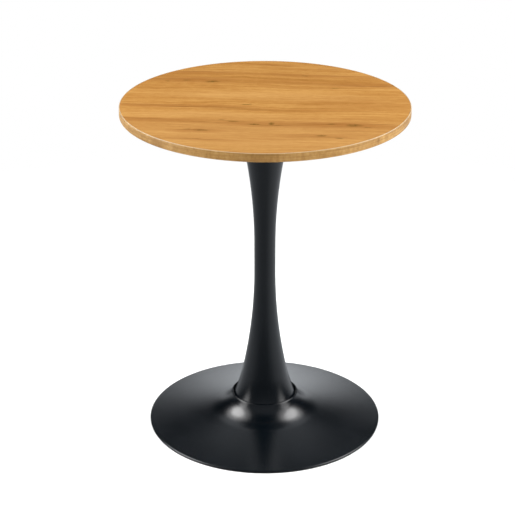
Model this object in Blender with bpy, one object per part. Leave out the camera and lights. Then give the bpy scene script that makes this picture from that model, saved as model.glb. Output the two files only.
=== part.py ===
"""Round pedestal table: a laminated disc top on a double trumpet column and a spun steel foot.

Metres, +Z up. The origin is on the floor, under the middle of the foot, and -Y is the front.
Every turned piece is an outline of (radius, height) points spun about the Z axis.
"""

import math

import bmesh
import bpy
from mathutils import Matrix, Vector

# Driving dimensions
HEIGHT = 0.727
TOP_RADIUS = 0.300
TOP_THICKNESS = 0.018
WAIST_RADIUS = 0.0227
FOOT_RADIUS = 0.253
FIT_GAP = 0.0003  # clearance between pieces that touch, glue lines and weld lines included

# Tabletop
BAND_THICKNESS = 0.002
BAND_EASING = 0.0016
BAND_SEAM_AZIMUTH = math.radians(-43)
LAMINATE_THICKNESS = 0.0008
BACKER_THICKNESS = 0.0006
TOP_SEGMENTS = 72

# Plate that carries the top, and its wood screws
PLATE_RADIUS = 0.120
PLATE_THICKNESS = 0.003
PLATE_BEVEL = 0.0005
SCREW_COUNT = 6
SCREW_CIRCLE_RADIUS = 0.100
SCREW_LENGTH = 0.016
SCREW_SHANK_RADIUS = 0.0017
SCREW_HEAD_RADIUS = 0.0043
SCREW_HEAD_HEIGHT = 0.0027
SCREW_POINT_LENGTH = 0.0040
SCREW_RECESS_ARM = 0.0023
SCREW_RECESS_HALF_WIDTH = 0.0005
SCREW_RECESS_DEPTH = 0.0015
SCREW_PILOT_RADIUS = SCREW_SHANK_RADIUS + FIT_GAP
SCREW_HOLE_RADIUS = 0.0026

# Column: a straight waist that sweeps out to both ends, and flares faster near them
COLUMN_FOOT_Z = 0.0595
COLUMN_WALL = 0.0015
WAIST_CENTRE_Z = 0.3857
WAIST_LENGTH = 0.059
SWEEP_RADIUS = 1.11
SWEEP_REACH = 0.245
FLARE_RADIUS = 0.275
COLUMN_SEGMENTS = 40

# Foot: a spun sheet with a rolled lip round the column and a turned-down rim
SHEET = 0.0015
RIM_Z = 0.0055
RIM_FILLET = 0.0018
RIM_SLOPE = math.radians(4.5)
KNEE_RADIUS = 0.120
KNEE_SLOPE = math.radians(11)
COLLAR_SLOPE = math.radians(68)
COLLAR_RADIUS = 0.0722
LIP_ROLL = 0.0020
HUB_TOP_Z = COLUMN_FOOT_Z - FIT_GAP
HUB_BEND = 0.0010
FOOT_SEGMENTS = 56

# Floor ring: a rubber L-section inside the rim
RING_WIDTH = 0.014
RING_TREAD = 0.0012

# Bolted joint between column and foot
JOINT_PLATE_THICKNESS = 0.004
JOINT_PLATE_RADIUS = 0.0635
HUB_PLATE_RADIUS = 0.060
BOLT_COUNT = 4
BOLT_CIRCLE_RADIUS = 0.040
BOLT_RADIUS = 0.0040
BOLT_LENGTH = 0.025
BOLT_HEAD_RADIUS = 0.0070
BOLT_HEAD_HEIGHT = 0.0044
BOLT_SOCKET_RADIUS = 0.0029
BOLT_SOCKET_DEPTH = 0.0026
BOLT_HOLE_RADIUS = 0.0045
WASHER_RADIUS = 0.0080
WASHER_THICKNESS = 0.0016
SPRING_WASHER_RADIUS = 0.0070
SPRING_WASHER_THICKNESS = 0.0020
SPRING_WASHER_GAP = math.radians(12)
NUT_FLATS_RADIUS = 0.0065
NUT_HEIGHT = 0.0065
PLATE_SEGMENTS = 36
SMALL_SEGMENTS = 12

# Heights that follow from the above
TOP_UNDERSIDE_Z = HEIGHT - TOP_THICKNESS
PLATE_TOP_Z = TOP_UNDERSIDE_Z - FIT_GAP
PLATE_BOTTOM_Z = PLATE_TOP_Z - PLATE_THICKNESS
COLUMN_TOP_Z = PLATE_BOTTOM_Z - FIT_GAP
CORE_RADIUS = TOP_RADIUS - BAND_THICKNESS - FIT_GAP
HUB_BOTTOM_Z = HUB_TOP_Z - SHEET
HUB_PLATE_TOP_Z = HUB_BOTTOM_Z - FIT_GAP
HUB_PLATE_BOTTOM_Z = HUB_PLATE_TOP_Z - JOINT_PLATE_THICKNESS

# (base colour, roughness, metallic)
FINISHES = {
    "wood_laminate": ((0.62, 0.33, 0.095), 0.42, 0.0),
    "wood_edge": ((0.56, 0.34, 0.13), 0.50, 0.0),
    "fibreboard": ((0.32, 0.20, 0.10), 0.90, 0.0),
    "backer": ((0.02, 0.02, 0.02), 0.70, 0.0),
    "black_powder_coat": ((0.012, 0.013, 0.014), 0.40, 0.0),
    "zinc": ((0.60, 0.60, 0.58), 0.35, 1.0),
    "rubber": ((0.02, 0.02, 0.02), 0.80, 0.0),
}


def clear_scene():
    for obj in list(bpy.data.objects):
        bpy.data.objects.remove(obj)


def finish_material(name):
    """The Principled material of one finish, made once."""
    made = bpy.data.materials.get(name)
    if made:
        return made
    colour, roughness, metallic = FINISHES[name]
    made = bpy.data.materials.new(name)
    made.use_nodes = True
    shader = made.node_tree.nodes["Principled BSDF"]
    shader.inputs["Base Color"].default_value = (*colour, 1.0)
    shader.inputs["Roughness"].default_value = roughness
    shader.inputs["Metallic"].default_value = metallic
    made.diffuse_color = (*colour, 1.0)
    return made


def object_from(name, bm, finish, location=(0, 0, 0)):
    """A named object that holds the bmesh, smooth but for its edges."""
    bmesh.ops.recalc_face_normals(bm, faces=bm.faces)
    mesh = bpy.data.meshes.new(name)
    bm.to_mesh(mesh)
    bm.free()
    mesh.shade_smooth()
    mesh.set_sharp_from_angle(angle=math.radians(30))
    mesh.materials.append(finish_material(finish))
    obj = bpy.data.objects.new(name, mesh)
    obj.location = location
    bpy.context.scene.collection.objects.link(obj)
    return obj


def arc(centre, radius, start, end, steps):
    """Points of a circular arc in the (radius, height) plane. Angles are from the +radius direction."""
    turns = [start + (end - start) * i / steps for i in range(steps + 1)]
    return [(centre[0] + radius * math.cos(a), centre[1] + radius * math.sin(a)) for a in turns]


def polar(radius, angle, height=0.0):
    return Vector((radius * math.cos(angle), radius * math.sin(angle), height))


def around(count, radius, first=0.0):
    """Evenly spaced places on a circle about the Z axis."""
    return [polar(radius, first + math.tau * i / count) for i in range(count)]


def spin_outline(bm, outline, segments, closed, sweep=math.tau):
    """Spins an outline about Z. A closed outline is a ring's section, and an open one ends on the axis."""
    points = [bm.verts.new((r, 0, z)) for r, z in outline]
    edges = [bm.edges.new(pair) for pair in zip(points, points[1:])]
    if closed:
        edges.append(bm.edges.new((points[-1], points[0])))
    full = math.isclose(sweep, math.tau)
    bmesh.ops.spin(
        bm,
        geom=points + edges,
        axis=(0, 0, 1),
        cent=(0, 0, 0),
        angle=sweep,
        steps=segments,
        use_merge=full,
    )
    bmesh.ops.remove_doubles(bm, verts=bm.verts, dist=1e-6)
    if not full:
        bmesh.ops.holes_fill(bm, edges=bm.edges, sides=0)


def turned(name, outline, segments, finish, closed=False, location=(0, 0, 0)):
    bm = bmesh.new()
    spin_outline(bm, outline, segments, closed)
    return object_from(name, bm, finish, location)


def cut(target, cutter, operation="DIFFERENCE"):
    """Cuts the cutter out of the target, or keeps only what is inside it, and hides the cutter."""
    boolean = target.modifiers.new("cut_" + cutter.name, "BOOLEAN")
    boolean.operation = operation
    boolean.object = cutter
    cutter.hide_render = True
    cutter.display_type = "WIRE"


def drill(target, name, places, radius, low, high):
    """Cuts one round hole at each place, from one height to another."""
    bm = bmesh.new()
    for place in places:
        made = bmesh.ops.create_cone(
            bm,
            cap_ends=True,
            segments=SMALL_SEGMENTS,
            radius1=radius,
            radius2=radius,
            depth=high - low,
        )
        bmesh.ops.translate(bm, verts=made["verts"], vec=(*place.xy, (low + high) / 2))
    cut(target, object_from(name, bm, "zinc"))


def disc_outline(radius, low, high, bevel=0.0, hole=0.0):
    """Outline of a flat disc with bevelled edges, or of a flat ring if it has a hole."""
    inner = [(hole, low), (radius - bevel, low)]
    outer = [(radius, low + bevel), (radius, high - bevel)]
    top = [(radius - bevel, high), (hole, high)]
    return inner + (outer if bevel else []) + top


# --- Tabletop ---------------------------------------------------------------------------------


def make_tabletop():
    """Fibreboard core between two laminates, with a thick edge band that meets itself at a seam."""
    low = TOP_UNDERSIDE_Z + BACKER_THICKNESS + FIT_GAP
    high = HEIGHT - LAMINATE_THICKNESS - FIT_GAP
    core = turned("tabletop_core", disc_outline(CORE_RADIUS, low, high), TOP_SEGMENTS, "fibreboard")
    turned(
        "tabletop_laminate",
        disc_outline(CORE_RADIUS, HEIGHT - LAMINATE_THICKNESS, HEIGHT),
        TOP_SEGMENTS,
        "wood_laminate",
    )
    backer = turned(
        "underside_laminate",
        disc_outline(CORE_RADIUS, TOP_UNDERSIDE_Z, TOP_UNDERSIDE_Z + BACKER_THICKNESS),
        TOP_SEGMENTS,
        "backer",
    )
    places = around(SCREW_COUNT, SCREW_CIRCLE_RADIUS)
    depth = PLATE_BOTTOM_Z + SCREW_LENGTH + 2 * FIT_GAP
    drill(core, "pilot_cutter", places, SCREW_PILOT_RADIUS, low - 0.002, depth)
    drill(backer, "backer_cutter", places, SCREW_PILOT_RADIUS, TOP_UNDERSIDE_Z - 0.002, low + 0.002)
    make_edge_band()


def make_edge_band():
    """The band's top and bottom outer edges are eased, and its ends meet at a hairline seam."""
    inner = TOP_RADIUS - BAND_THICKNESS
    centre_r = TOP_RADIUS - BAND_EASING
    outline = [(inner, HEIGHT), (inner, TOP_UNDERSIDE_Z)]
    outline += arc((centre_r, TOP_UNDERSIDE_Z + BAND_EASING), BAND_EASING, -math.pi / 2, 0, 3)
    outline += arc((centre_r, HEIGHT - BAND_EASING), BAND_EASING, 0, math.pi / 2, 3)
    band = turned("edge_band", outline, TOP_SEGMENTS, "wood_edge", closed=True)
    bm = bmesh.new()
    made = bmesh.ops.create_cube(bm, size=1.0)
    bmesh.ops.scale(bm, verts=made["verts"], vec=(4 * BAND_THICKNESS, FIT_GAP, 2 * TOP_THICKNESS))
    seam = polar(TOP_RADIUS, BAND_SEAM_AZIMUTH, HEIGHT - TOP_THICKNESS / 2)
    cutter = object_from("seam_cutter", bm, "wood_edge", seam)
    cutter.rotation_euler.z = BAND_SEAM_AZIMUTH
    cut(band, cutter)


def make_top_plate():
    """Steel disc welded on the column and screwed to the tabletop's underside."""
    outline = disc_outline(PLATE_RADIUS, PLATE_BOTTOM_Z, PLATE_TOP_Z, PLATE_BEVEL)
    plate = turned("top_plate", outline, PLATE_SEGMENTS, "black_powder_coat")
    places = around(SCREW_COUNT, SCREW_CIRCLE_RADIUS)
    drill(plate, "plate_cutter", places, SCREW_HOLE_RADIUS, PLATE_BOTTOM_Z - 0.002, PLATE_TOP_Z + 0.002)
    for index, place in enumerate(places, start=1):
        make_wood_screw(f"top_screw_{index}", (*place.xy, PLATE_BOTTOM_Z - FIT_GAP))


def make_wood_screw(name, location):
    """Pan head below the origin, plain shank above it with a cone point, and a cross recess."""
    shoulder = (SCREW_HEAD_RADIUS * 0.6, -SCREW_HEAD_HEIGHT * 0.93)
    outline = [(0, -SCREW_HEAD_HEIGHT), shoulder]
    outline += [(SCREW_HEAD_RADIUS, -SCREW_HEAD_HEIGHT * 0.45), (SCREW_HEAD_RADIUS, 0)]
    outline += [(SCREW_SHANK_RADIUS, 0), (SCREW_SHANK_RADIUS, SCREW_LENGTH - SCREW_POINT_LENGTH)]
    outline += [(0, SCREW_LENGTH)]
    screw = turned(name, outline, SMALL_SEGMENTS, "zinc", location=location)
    bm = bmesh.new()
    arm, half = SCREW_RECESS_ARM, SCREW_RECESS_HALF_WIDTH
    corners = []
    for quarter in range(4):
        turn = Matrix.Rotation(math.tau * quarter / 4, 3, "Z")
        for x, y in ((arm, -half), (arm, half), (half, half)):
            corners.append(bm.verts.new(turn @ Vector((x, y, 0))))
    cross = bm.faces.new(corners)
    made = bmesh.ops.extrude_face_region(bm, geom=[cross])
    raised = [element for element in made["geom"] if isinstance(element, bmesh.types.BMVert)]
    bmesh.ops.translate(bm, verts=raised, vec=(0, 0, -2 * SCREW_RECESS_DEPTH))
    top = Vector(location) - Vector((0, 0, SCREW_HEAD_HEIGHT - SCREW_RECESS_DEPTH))
    cut(screw, object_from(name + "_cutter", bm, "zinc", top))


# --- Column -----------------------------------------------------------------------------------


def trumpet_end(reach, sweep_steps=5, flare_steps=3):
    """(radius, distance, lean) out along one end of the column, from the waist.

    The lean is the surface's angle from the axis, and each arc starts with the lean it is given.
    """
    points = [(WAIST_RADIUS, 0.0, 0.0)]
    arcs = ((SWEEP_RADIUS, SWEEP_REACH, sweep_steps), (FLARE_RADIUS, reach - SWEEP_REACH, flare_steps))
    for arc_radius, length, steps in arcs:
        radius, distance, first = points[-1]
        last = math.asin(math.sin(first) + length / arc_radius)
        for step in range(1, steps + 1):
            lean = first + (last - first) * step / steps
            out = arc_radius * (math.cos(first) - math.cos(lean))
            along = arc_radius * (math.sin(lean) - math.sin(first))
            points.append((radius + out, distance + along, lean))
    return points


def column_surface():
    """(radius, height, lean) down the column's outside, from the top end to the foot."""
    waist_top = WAIST_CENTRE_Z + WAIST_LENGTH / 2
    waist_bottom = WAIST_CENTRE_Z - WAIST_LENGTH / 2
    upper = [(r, waist_top + d, lean) for r, d, lean in trumpet_end(COLUMN_TOP_Z - waist_top)]
    lower = [(r, waist_bottom - d, lean) for r, d, lean in trumpet_end(waist_bottom - COLUMN_FOOT_Z)]
    return upper[::-1] + lower


def make_column():
    """Steel tube flared to a trumpet at each end, with a joint plate welded inside its foot."""
    surface = column_surface()
    outside = [(r, z) for r, z, lean in surface]
    inside = [(r - COLUMN_WALL / math.cos(lean), z) for r, z, lean in surface]
    turned("column_shell", outside + inside[::-1], COLUMN_SEGMENTS, "black_powder_coat", closed=True)

    low, high = COLUMN_FOOT_Z, COLUMN_FOOT_Z + JOINT_PLATE_THICKNESS
    plate = turned("column_joint_plate", disc_outline(JOINT_PLATE_RADIUS, low, high), PLATE_SEGMENTS, "zinc")
    places = around(BOLT_COUNT, BOLT_CIRCLE_RADIUS, math.pi / BOLT_COUNT)
    drill(plate, "joint_plate_cutter", places, BOLT_HOLE_RADIUS, low - 0.002, high + 0.002)
    for index, place in enumerate(places, start=1):
        make_weld_nut(f"weld_nut_{index}", (*place.xy, high + FIT_GAP))


def make_weld_nut(name, location):
    """Hexagon nut with chamfered corners on its upper side."""
    bm = bmesh.new()
    corner = NUT_FLATS_RADIUS / math.cos(math.pi / 6)
    chamfer = corner - NUT_FLATS_RADIUS
    outline = [(BOLT_RADIUS + FIT_GAP, 0), (corner, 0)]
    outline += [(corner, NUT_HEIGHT - chamfer), (corner - chamfer, NUT_HEIGHT)]
    outline += [(BOLT_RADIUS + FIT_GAP, NUT_HEIGHT)]
    spin_outline(bm, outline, SMALL_SEGMENTS, closed=True)
    nut = object_from(name, bm, "zinc", location)
    bm = bmesh.new()
    bmesh.ops.create_cone(
        bm, cap_ends=True, segments=6, radius1=corner, radius2=corner, depth=4 * NUT_HEIGHT
    )
    cut(nut, object_from(name + "_hexagon", bm, "zinc", location), "INTERSECT")


# --- Foot -------------------------------------------------------------------------------------


def sloped_arc(start, end_radius, start_slope, end_slope, steps):
    """(radius, height, slope) up a hollow sweep, from its outer end to its inner end.

    The slope is the surface's angle from horizontal, and it grows steadily towards the axis.
    """
    sweep_radius = (start[0] - end_radius) / (math.sin(end_slope) - math.sin(start_slope))
    points = []
    for step in range(steps + 1):
        slope = start_slope + (end_slope - start_slope) * step / steps
        radius = start[0] - sweep_radius * (math.sin(slope) - math.sin(start_slope))
        height = start[1] + sweep_radius * (math.cos(start_slope) - math.cos(slope))
        points.append((radius, height, slope))
    return points


def foot_surface(disc_steps=3, collar_steps=6, lip_steps=4):
    """(radius, height, slope) of the foot's upper side, from the rim to the inside of the lip."""
    rim_end = FOOT_RADIUS - RIM_FILLET + RIM_FILLET * math.sin(RIM_SLOPE)
    disc = sloped_arc((rim_end, RIM_Z), KNEE_RADIUS, RIM_SLOPE, KNEE_SLOPE, disc_steps)
    collar = sloped_arc(disc[-1][:2], COLLAR_RADIUS, KNEE_SLOPE, COLLAR_SLOPE, collar_steps)
    top_radius, top_z, slope = collar[-1]
    centre = (top_radius - LIP_ROLL * math.sin(slope), top_z - LIP_ROLL * math.cos(slope))
    lip = []
    for step in range(1, lip_steps + 1):
        turn = slope - (slope + math.pi / 2) * step / lip_steps
        lip.append((centre[0] + LIP_ROLL * math.sin(turn), centre[1] + LIP_ROLL * math.cos(turn), turn))
    return disc + collar[1:] + lip


def foot_outline():
    """Section of the spun sheet: its lower side from the axis to the rim, then its upper side back."""
    surface = foot_surface()
    rim_foot = RING_TREAD + FIT_GAP
    bend_centre = (surface[-1][0] - HUB_BEND, HUB_TOP_Z + HUB_BEND)
    bend_bottom = arc(bend_centre, HUB_BEND + SHEET, -math.pi / 2, 0, 3)
    lower = [(r - SHEET * math.sin(s), z - SHEET * math.cos(s)) for r, z, s in reversed(surface)]
    inner_rim = FOOT_RADIUS - SHEET
    below = [(0, HUB_BOTTOM_Z), *bend_bottom, *lower[:-1], (inner_rim, lower[-1][1]), (inner_rim, rim_foot)]
    fillet_z = RIM_Z - RIM_FILLET * math.cos(RIM_SLOPE)
    rim = arc((FOOT_RADIUS - RIM_FILLET, fillet_z), RIM_FILLET, 0, math.pi / 2 - RIM_SLOPE, 3)[:-1]
    bend_top = arc(bend_centre, HUB_BEND, 0, -math.pi / 2, 2)
    above = [(FOOT_RADIUS, rim_foot), *rim, *((r, z) for r, z, _ in surface), *bend_top, (0, HUB_TOP_Z)]
    return below + above


def make_foot():
    """Spun shell, the hub plate that stiffens it, and the rubber ring that it stands on."""
    shell = turned("base_shell", foot_outline(), FOOT_SEGMENTS, "black_powder_coat")
    outline = disc_outline(HUB_PLATE_RADIUS, HUB_PLATE_BOTTOM_Z, HUB_PLATE_TOP_Z, PLATE_BEVEL)
    hub_plate = turned("hub_plate", outline, PLATE_SEGMENTS, "zinc")
    places = around(BOLT_COUNT, BOLT_CIRCLE_RADIUS, math.pi / BOLT_COUNT)
    drill(shell, "hub_cutter", places, BOLT_HOLE_RADIUS, HUB_BOTTOM_Z - 0.002, HUB_TOP_Z + 0.002)
    drill(
        hub_plate,
        "hub_plate_cutter",
        places,
        BOLT_HOLE_RADIUS,
        HUB_PLATE_BOTTOM_Z - 0.002,
        HUB_PLATE_TOP_Z + 0.002,
    )
    make_floor_ring()
    for index, place in enumerate(places, start=1):
        make_bolt_stack(index, place)


def make_floor_ring():
    """L-section: a tread under the rim's edge, and an upstand inside it."""
    inside = FOOT_RADIUS - RING_WIDTH
    tread = FOOT_RADIUS - 0.0006
    upstand = FOOT_RADIUS - SHEET - FIT_GAP
    top = RIM_Z - SHEET - 2 * FIT_GAP
    outline = [(inside, 0), (tread, 0), (tread, RING_TREAD), (upstand, RING_TREAD)]
    outline += [(upstand, top), (inside, top)]
    turned("floor_ring", outline, FOOT_SEGMENTS, "rubber", closed=True)


def make_bolt_stack(index, place):
    """Flat washer, spring washer and socket bolt, from the hub plate down."""
    bore = BOLT_RADIUS + FIT_GAP
    flat_top = HUB_PLATE_BOTTOM_Z - FIT_GAP
    turned(
        f"flat_washer_{index}",
        disc_outline(WASHER_RADIUS, -WASHER_THICKNESS, 0, hole=bore),
        SMALL_SEGMENTS,
        "zinc",
        closed=True,
        location=(*place.xy, flat_top),
    )
    spring_top = flat_top - WASHER_THICKNESS - FIT_GAP
    bm = bmesh.new()
    spin_outline(
        bm,
        disc_outline(SPRING_WASHER_RADIUS, -SPRING_WASHER_THICKNESS, 0, hole=bore),
        SMALL_SEGMENTS,
        closed=True,
        sweep=math.tau - SPRING_WASHER_GAP,
    )
    object_from(f"spring_washer_{index}", bm, "zinc", (*place.xy, spring_top))
    head_top = spring_top - SPRING_WASHER_THICKNESS - FIT_GAP
    make_socket_bolt(f"base_bolt_{index}", (*place.xy, head_top))


def make_socket_bolt(name, location):
    """Button head below the origin with a hexagon socket, and a plain shank above it."""
    crown = BOLT_HEAD_RADIUS * 0.62
    outline = [(0, -BOLT_HEAD_HEIGHT), (crown, -BOLT_HEAD_HEIGHT)]
    outline += [(BOLT_HEAD_RADIUS * 0.9, -BOLT_HEAD_HEIGHT * 0.62)]
    outline += [(BOLT_HEAD_RADIUS, -BOLT_HEAD_HEIGHT * 0.2)]
    outline += [(BOLT_HEAD_RADIUS, 0), (BOLT_RADIUS, 0), (BOLT_RADIUS, BOLT_LENGTH - 0.0008)]
    outline += [(BOLT_RADIUS - 0.0008, BOLT_LENGTH), (0, BOLT_LENGTH)]
    bolt = turned(name, outline, SMALL_SEGMENTS, "zinc", location=location)
    bm = bmesh.new()
    bmesh.ops.create_cone(
        bm,
        cap_ends=True,
        segments=6,
        radius1=BOLT_SOCKET_RADIUS,
        radius2=BOLT_SOCKET_RADIUS,
        depth=2 * BOLT_SOCKET_DEPTH,
    )
    foot = Vector(location) - Vector((0, 0, BOLT_HEAD_HEIGHT))
    cut(bolt, object_from(name + "_cutter", bm, "zinc", foot))


def main():
    clear_scene()
    make_tabletop()
    make_top_plate()
    make_column()
    make_foot()


main()
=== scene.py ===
"""Looks of the round pedestal table: finely turned meshes, materials, studio light and camera.

Metres, +Z up, in the CAD model's frame. -Y is the front, and the grain runs nearly along X.
"""

import math

import bmesh
import bpy
from mathutils import Matrix, Vector


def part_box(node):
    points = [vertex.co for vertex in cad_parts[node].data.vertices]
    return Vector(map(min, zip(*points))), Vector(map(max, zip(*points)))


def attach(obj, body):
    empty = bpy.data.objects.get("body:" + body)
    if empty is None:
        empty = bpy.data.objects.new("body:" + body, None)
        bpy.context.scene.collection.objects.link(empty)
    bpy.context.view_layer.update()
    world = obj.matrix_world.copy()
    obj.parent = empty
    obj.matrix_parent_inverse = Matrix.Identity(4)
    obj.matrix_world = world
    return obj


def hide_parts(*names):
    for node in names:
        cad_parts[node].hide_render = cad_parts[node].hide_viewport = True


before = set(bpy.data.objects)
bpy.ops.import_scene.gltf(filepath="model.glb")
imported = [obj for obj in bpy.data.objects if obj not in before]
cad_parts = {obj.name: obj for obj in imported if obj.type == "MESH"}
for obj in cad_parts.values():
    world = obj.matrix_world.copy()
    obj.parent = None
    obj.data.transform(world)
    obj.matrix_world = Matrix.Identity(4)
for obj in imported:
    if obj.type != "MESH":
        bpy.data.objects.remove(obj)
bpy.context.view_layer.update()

# Turned shapes
FINE_SEGMENTS = 256
MEDIUM_SEGMENTS = 128
SMALL_SEGMENTS = 48
GAP = 0.0003

# Tabletop
BAND_THICKNESS = 0.002
BAND_EASING = 0.0016
LAMINATE_EASING = 0.0003
GLUE_LINE = 0.00005
SEAM_AZIMUTH = math.radians(-43)

# Column: a straight waist that sweeps out to both ends, and flares faster near them
WAIST_RADIUS = 0.0227
WAIST_CENTRE_Z = 0.3857
WAIST_LENGTH = 0.059
SWEEP_RADIUS = 1.11
SWEEP_REACH = 0.245
FLARE_RADIUS = 0.275
COLUMN_WALL = 0.0015
WELD_SIZE = 0.0024
WELD_RIPPLES = 150

# Foot
SHEET = 0.0015
RIM_Z = 0.0055
RIM_FILLET = 0.0022
RIM_TUCK = 0.0013
RIM_SLOPE = math.radians(4.5)
KNEE_RADIUS = 0.120
KNEE_SLOPE = math.radians(11)
COLLAR_SLOPE = math.radians(68)
COLLAR_RADIUS = 0.0722
LIP_ROLL = 0.0020
HUB_BEND = 0.0010
RING_TREAD = 0.0012
RING_WIDTH = 0.0122

# Plates and fasteners
PLATE_FILLET = 0.0006
STIFFENER_FILLET = 0.0005
DRILL_OVERSHOOT = 0.002
BOLT_COUNT = 4
SCREW_COUNT = 6
BOLT_RADIUS = 0.0040
BOLT_HOLE_RADIUS = 0.0045
BOLT_HEAD_HEIGHT = 0.0044
BOLT_CHAMFER = 0.0008
BOLT_SOCKET_RADIUS = 0.0029
BOLT_SOCKET_DEPTH = 0.0026
BOLT_SOCKET_OVERSHOOT = 0.001
SCREW_SHANK_RADIUS = 0.0017
SCREW_HOLE_RADIUS = 0.0026
SCREW_HEAD_HEIGHT = 0.0027
SCREW_POINT = 0.004
WASHER_SPLIT = math.radians(12)

# The punch for a screw's cross recess, at its mouth and at its end: height, length and half width of an arm
CROSS_LEVELS = ((-0.0006, 0.0027, 0.00055), (0.0018, 0.0014, 0.00035))

# Camera: the point it looks at, how far away it stands and how far down it looks
CAMERA_AIM = Vector((-0.0157, 0.0, 0.3821))
CAMERA_DISTANCE = 3.6155
CAMERA_PITCH = math.radians(23.55)
CAMERA_LENS = 118.4
CAMERA_SENSOR = 36.0

# Studio
FLOOR_FADE_START = 0.6
FLOOR_RADIUS = 1.8
LIGHT_AIM = Vector((0, 0, 0.05))
AMBIENT_LIGHT = 0.37
REFLECTION_TINT = (0.96, 1.0, 1.05)


# --- Meshes -----------------------------------------------------------------------------------


def arc(centre, radius, start, end, steps):
    """Points of a circular arc in the (radius, height) plane."""
    turns = [start + (end - start) * i / steps for i in range(steps + 1)]
    return [(centre[0] + radius * math.cos(a), centre[1] + radius * math.sin(a)) for a in turns]


def rounded(corners, steps=4):
    """An outline whose (radius, height, fillet) corners are rounded where the fillet isn't 0."""
    points = []
    for index, (r, z, fillet) in enumerate(corners):
        corner = Vector((r, z))
        if not fillet:
            points.append((r, z))
            continue
        before = Vector(corners[index - 1][:2]) - corner
        after = Vector(corners[(index + 1) % len(corners)][:2]) - corner
        half = before.angle(after) / 2
        reach = fillet / math.tan(half)
        start = corner + before.normalized() * reach
        end = corner + after.normalized() * reach
        inwards = (before.normalized() + after.normalized()).normalized()
        centre = corner + inwards * fillet / math.sin(half)
        first, last = start - centre, end - centre
        for step in range(steps + 1):
            turn = first.slerp(last, step / steps).normalized() * fillet
            points.append(tuple(centre + turn))
    return points


def revolve(bm, outline, segments, closed=True, start=0.0, sweep=math.tau):
    """Spins an outline about Z. A closed outline is a ring's section, and an open one ends on the axis."""
    full = math.isclose(sweep, math.tau)
    on_axis = {z: bm.verts.new((0, 0, z)) for r, z in outline if r == 0}
    rings = []
    for step in range(segments if full else segments + 1):
        angle = start + sweep * step / segments
        x, y = math.cos(angle), math.sin(angle)
        rings.append([on_axis[z] if r == 0 else bm.verts.new((r * x, r * y, z)) for r, z in outline])
    following = rings[1:] + rings[:1] if full else rings[1:]
    spans = len(outline) if closed else len(outline) - 1
    for first, second in zip(rings, following):
        for i in range(spans):
            j = (i + 1) % len(outline)
            corners = dict.fromkeys((first[i], first[j], second[j], second[i]))
            bm.faces.new(corners)
    if not full:
        bm.faces.new(rings[0])
        bm.faces.new(rings[-1])


def piece_from(name, bm, material, location=(0, 0, 0), sharp=30):
    """A named object that rides on the table's one body."""
    bmesh.ops.recalc_face_normals(bm, faces=bm.faces)
    mesh = bpy.data.meshes.new(name)
    bm.to_mesh(mesh)
    bm.free()
    mesh.shade_smooth()
    mesh.set_sharp_from_angle(angle=math.radians(sharp))
    mesh.materials.append(material)
    piece = bpy.data.objects.new(name, mesh)
    piece.location = location
    bpy.context.scene.collection.objects.link(piece)
    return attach(piece, "root")


def turned(name, outline, segments, material, closed=True, location=(0, 0, 0)):
    """A piece made by spinning an outline all the way round."""
    bm = bmesh.new()
    revolve(bm, outline, segments, closed)
    return piece_from(name, bm, material, location)


def cut(piece, bm):
    """Cuts the bmesh's shape out of the piece for good."""
    mesh = bpy.data.meshes.new("cutter")
    bmesh.ops.recalc_face_normals(bm, faces=bm.faces)
    bm.to_mesh(mesh)
    bm.free()
    cutter = bpy.data.objects.new("cutter", mesh)
    bpy.context.scene.collection.objects.link(cutter)
    boolean = piece.modifiers.new("cut", "BOOLEAN")
    boolean.operation = "DIFFERENCE"
    boolean.solver = "EXACT"
    boolean.object = cutter
    with bpy.context.temp_override(object=piece, active_object=piece):
        bpy.ops.object.modifier_apply(modifier=boolean.name)
    bpy.data.objects.remove(cutter)
    piece.data.set_sharp_from_angle(angle=math.radians(30))


def cylinders(places, radius, low, high, segments=SMALL_SEGMENTS):
    """Upright cylinders, to drill with."""
    bm = bmesh.new()
    for x, y in places:
        made = bmesh.ops.create_cone(
            bm, cap_ends=True, segments=segments, radius1=radius, radius2=radius, depth=high - low
        )
        bmesh.ops.translate(bm, verts=made["verts"], vec=(x, y, (low + high) / 2))
    return bm


def drill(piece, nodes, radius, low, high):
    """Drills an upright hole through the piece at the middle of each CAD node."""
    places = [middle(node) for node in nodes]
    cut(piece, cylinders(places, radius, low - DRILL_OVERSHOOT, high + DRILL_OVERSHOOT))


def middle(node):
    """(x, y) of the middle of a CAD node."""
    low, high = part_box(node)
    return ((low.x + high.x) / 2, (low.y + high.y) / 2)


def nodes_of(kind, count):
    """The CAD names of a numbered kind of part."""
    return [f"{kind}_{index}" for index in range(1, count + 1)]


# --- Materials --------------------------------------------------------------------------------

# The range that covers nearly all of a noise texture's values
NOISE_RANGE = (0.3, 0.7)


class Graph:
    """A node tree, and short ways to add nodes to it."""

    def __init__(self, tree):
        self.tree = tree

    def add(self, kind, inputs=(), output=0, **settings):
        """Adds a node, fills its sockets with values or links, and returns one output."""
        node = self.tree.nodes.new(kind)
        for key, value in settings.items():
            setattr(node, key, value)
        for socket, value in dict(inputs).items():
            if isinstance(value, bpy.types.NodeSocket):
                self.tree.links.new(value, node.inputs[socket])
            else:
                node.inputs[socket].default_value = value
        return node.outputs[output]

    def maths(self, operation, a, b=0.0):
        return self.add("ShaderNodeMath", {0: a, 1: b}, operation=operation)

    def product(self, first, *factors):
        for factor in factors:
            first = self.maths("MULTIPLY", first, factor)
        return first

    def total(self, first, *terms):
        for term in terms:
            first = self.maths("ADD", first, term)
        return first

    def remap(self, value, low, high, to_low=0.0, to_high=1.0, smooth=False):
        inputs = {"Value": value, 1: low, 2: high, 3: to_low, 4: to_high}
        kind = "SMOOTHSTEP" if smooth else "LINEAR"
        return self.add("ShaderNodeMapRange", inputs, interpolation_type=kind, clamp=True)


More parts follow.
